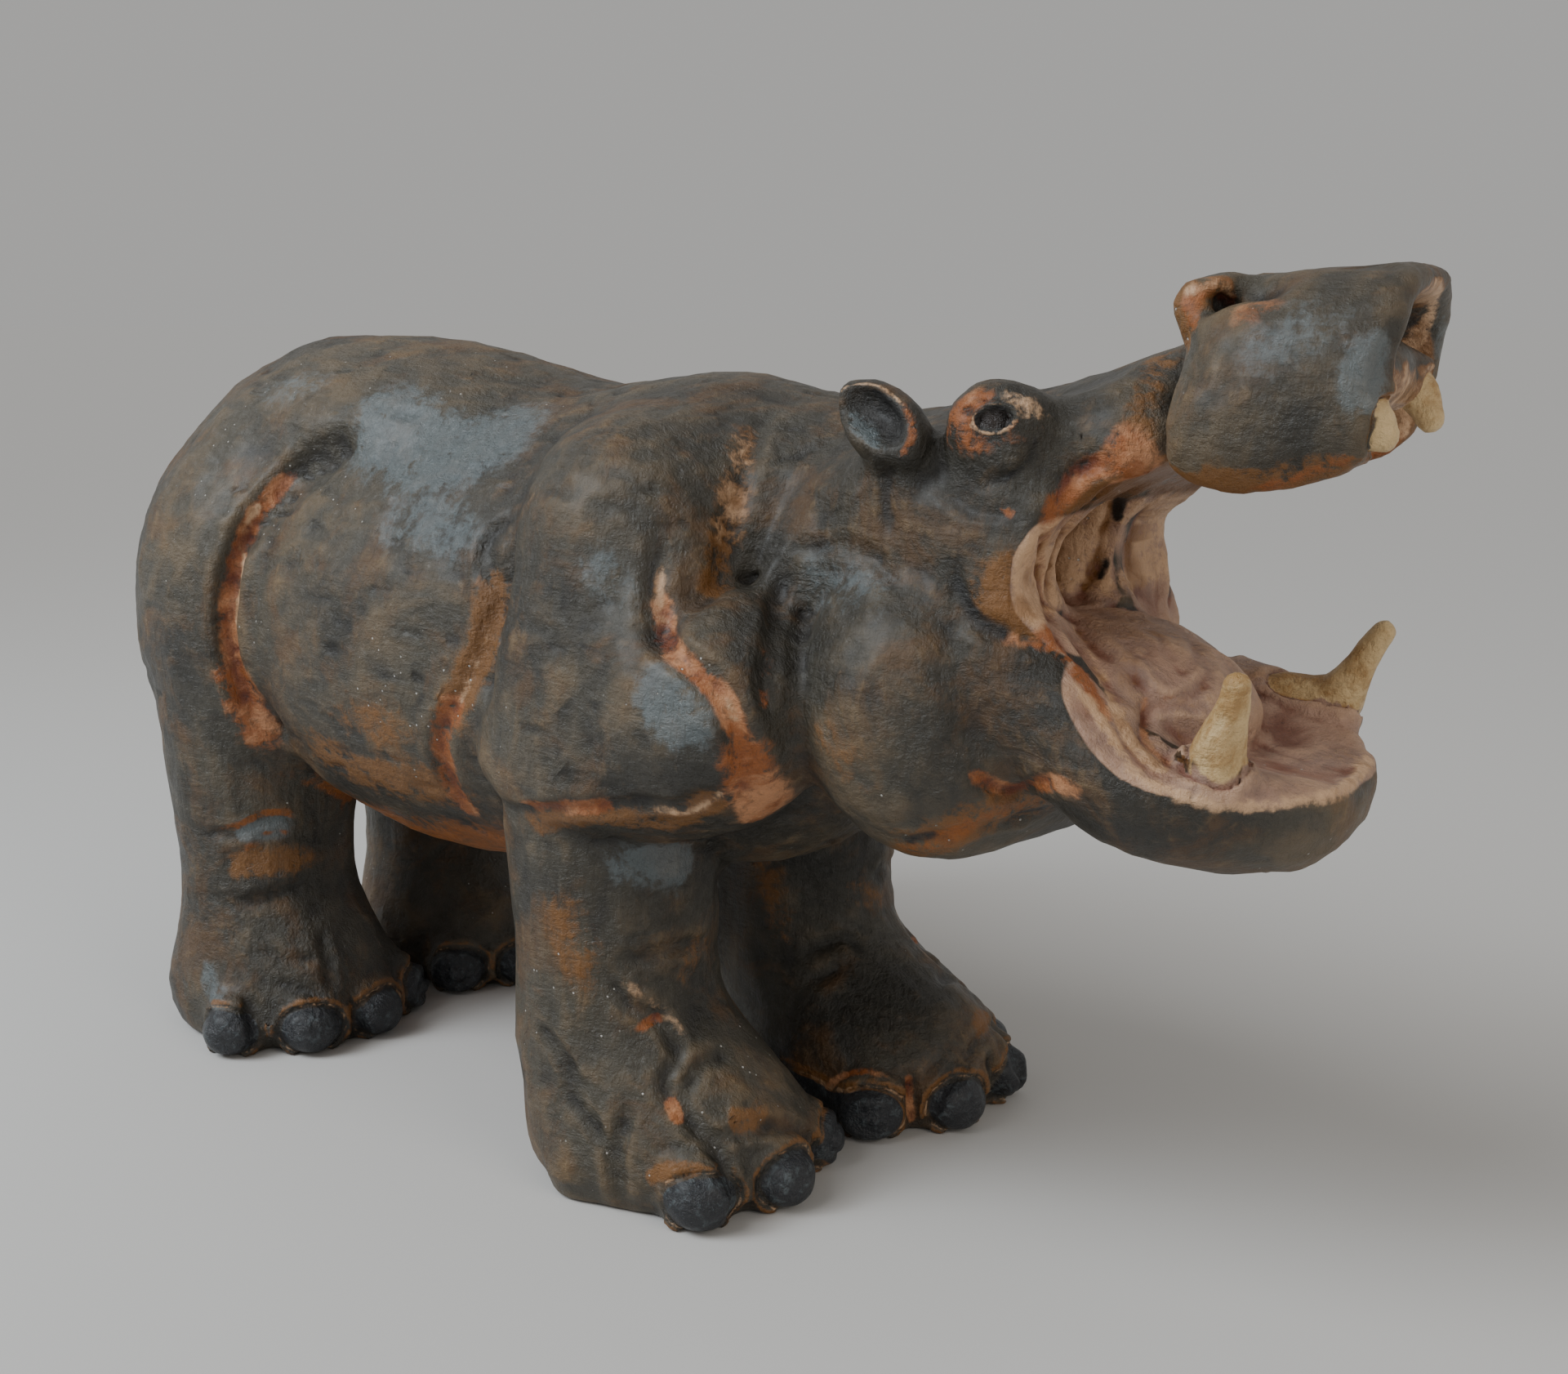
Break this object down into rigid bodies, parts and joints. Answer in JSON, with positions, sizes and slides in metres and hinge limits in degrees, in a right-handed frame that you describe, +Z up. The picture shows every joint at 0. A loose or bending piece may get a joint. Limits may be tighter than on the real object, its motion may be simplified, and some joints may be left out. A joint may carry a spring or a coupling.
{
  "type": "hippopotamus figurine",
  "caption": "Hand-modelled ceramic hippo standing on all fours with its mouth wide open, painted dark over warm ochre clay, for a shelf or table.",
  "frame": {"origin": "on the ground under the middle of the figure's box", "axes": "+X towards the open mouth, along the body; +Z up; +Y to the animal's left"},
  "size_m": [0.4868, 0.1824, 0.266],
  "materials": {
    "painted_clay": "fired clay, dark paint rubbed back over ochre and orange, waxed satin"
  },
  "bodies": {
    "root": {"hippo": "painted_clay"}
  },
  "joints": []
}
